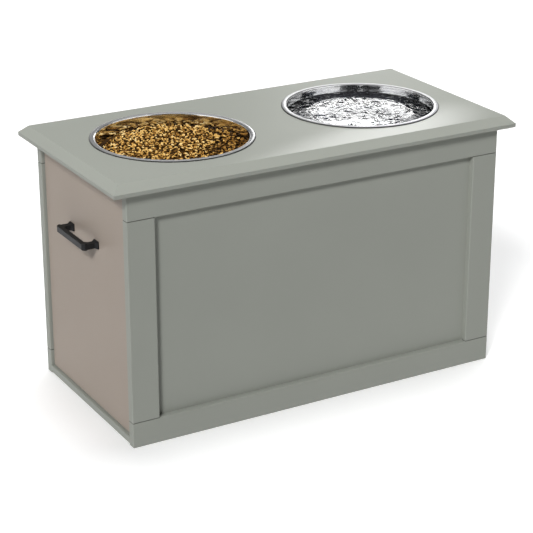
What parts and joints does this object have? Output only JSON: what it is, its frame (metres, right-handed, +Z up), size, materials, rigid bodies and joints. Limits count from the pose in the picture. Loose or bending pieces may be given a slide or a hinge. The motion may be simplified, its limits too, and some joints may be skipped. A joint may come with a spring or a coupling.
{
  "type": "raised pet bowl stand",
  "caption": "Raised pet feeding station: a painted board cabinet with a full-height drawer in its end and steel bowls hanging in the bevelled top.",
  "frame": {"origin": "on the floor, under the middle of the top board", "axes": "+X from the drawer end to the closed end, along the long front; +Y from the front to the back; +Z up"},
  "size_m": [0.6, 0.3, 0.362],
  "materials": {
    "cabinet_paint": "satin grey-green paint on fibreboard",
    "front_paint": "satin taupe paint on fibreboard",
    "drawer_board": "matt taupe melamine on particle board",
    "batten_wood": "planed bare pine",
    "dowel_wood": "bare beech",
    "zinc": "bright zinc plate",
    "runner_steel": "white epoxy coat",
    "roller_nylon": "white nylon",
    "black_metal": "matt black powder coat",
    "bowl_steel": "polished stainless steel",
    "dry_food": "golden brown dry pellets",
    "water": "clear rippled water"
  },
  "bodies": {
    "cabinet": {"top_board": "cabinet_paint", "front_top_rail": "cabinet_paint", "front_bottom_rail": "cabinet_paint", "front_left_stile": "cabinet_paint", "front_right_stile": "cabinet_paint", "front_panel": "cabinet_paint", "back_top_rail": "cabinet_paint", "back_bottom_rail": "cabinet_paint", "back_left_stile": "cabinet_paint", "back_right_stile": "cabinet_paint", "back_panel": "cabinet_paint", "end_board": "cabinet_paint", "base_board": "cabinet_paint", "front_batten": "batten_wood", "back_batten": "batten_wood", "front_dowels": "dowel_wood", "back_dowels": "dowel_wood", "end_dowels": "dowel_wood", "top_screws": "zinc", "batten_screws": "zinc", "base_bolts": "zinc", "base_cams": "zinc", "front_fixed_runner": "runner_steel", "back_fixed_runner": "runner_steel", "fixed_runner_screws": "zinc", "fixed_roller_pins": "zinc"},
    "drawer": {"drawer_front": "front_paint", "drawer_front_side": "drawer_board", "drawer_back_side": "drawer_board", "drawer_rear": "drawer_board", "drawer_bottom": "drawer_board", "drawer_bolts": "zinc", "drawer_cams": "zinc", "drawer_screws": "zinc", "pull": "black_metal", "pull_screws": "zinc", "front_moving_runner": "runner_steel", "back_moving_runner": "runner_steel", "moving_runner_screws": "zinc", "moving_roller_pins": "zinc"},
    "front_fixed_roller": {"front_fixed_roller": "roller_nylon"},
    "back_fixed_roller": {"back_fixed_roller": "roller_nylon"},
    "front_moving_roller": {"front_moving_roller": "roller_nylon"},
    "back_moving_roller": {"back_moving_roller": "roller_nylon"},
    "bowl_left": {"bowl_left": "bowl_steel", "food": "dry_food"},
    "bowl_right": {"bowl_right": "bowl_steel", "water": "water"}
  },
  "joints": [
    {"name": "drawer_slide", "type": "slide", "parent": "cabinet", "child": "drawer", "axis": [-1, 0, 0], "range_m": [0, 0.36]},
    {"name": "front_fixed_roller_spin", "type": "hinge", "parent": "cabinet", "child": "front_fixed_roller", "pos_m": [-0.25, -0.12075, 0.0275], "axis": [0, -1, 0], "range_deg": [0, 2300]},
    {"name": "back_fixed_roller_spin", "type": "hinge", "parent": "cabinet", "child": "back_fixed_roller", "pos_m": [-0.25, 0.12075, 0.0275], "axis": [0, -1, 0], "range_deg": [0, 2300]},
    {"name": "front_moving_roller_spin", "type": "hinge", "parent": "drawer", "child": "front_moving_roller", "pos_m": [0.185, -0.11875, 0.0245], "axis": [0, -1, 0], "range_deg": [0, 2300]},
    {"name": "back_moving_roller_spin", "type": "hinge", "parent": "drawer", "child": "back_moving_roller", "pos_m": [0.185, 0.11875, 0.0245], "axis": [0, -1, 0], "range_deg": [0, 2300]},
    {"name": "bowl_left_lift", "type": "slide", "parent": "cabinet", "child": "bowl_left", "axis": [0, 0, 1], "range_m": [0, 0.12]},
    {"name": "bowl_right_lift", "type": "slide", "parent": "cabinet", "child": "bowl_right", "axis": [0, 0, 1], "range_m": [0, 0.12]}
  ],
  "couplings": [
    {"joint": "front_fixed_roller_spin", "follows": "drawer_slide", "rad_per_m": 111.11},
    {"joint": "back_fixed_roller_spin", "follows": "drawer_slide", "rad_per_m": 111.11},
    {"joint": "front_moving_roller_spin", "follows": "drawer_slide", "rad_per_m": 111.11},
    {"joint": "back_moving_roller_spin", "follows": "drawer_slide", "rad_per_m": 111.11}
  ]
}
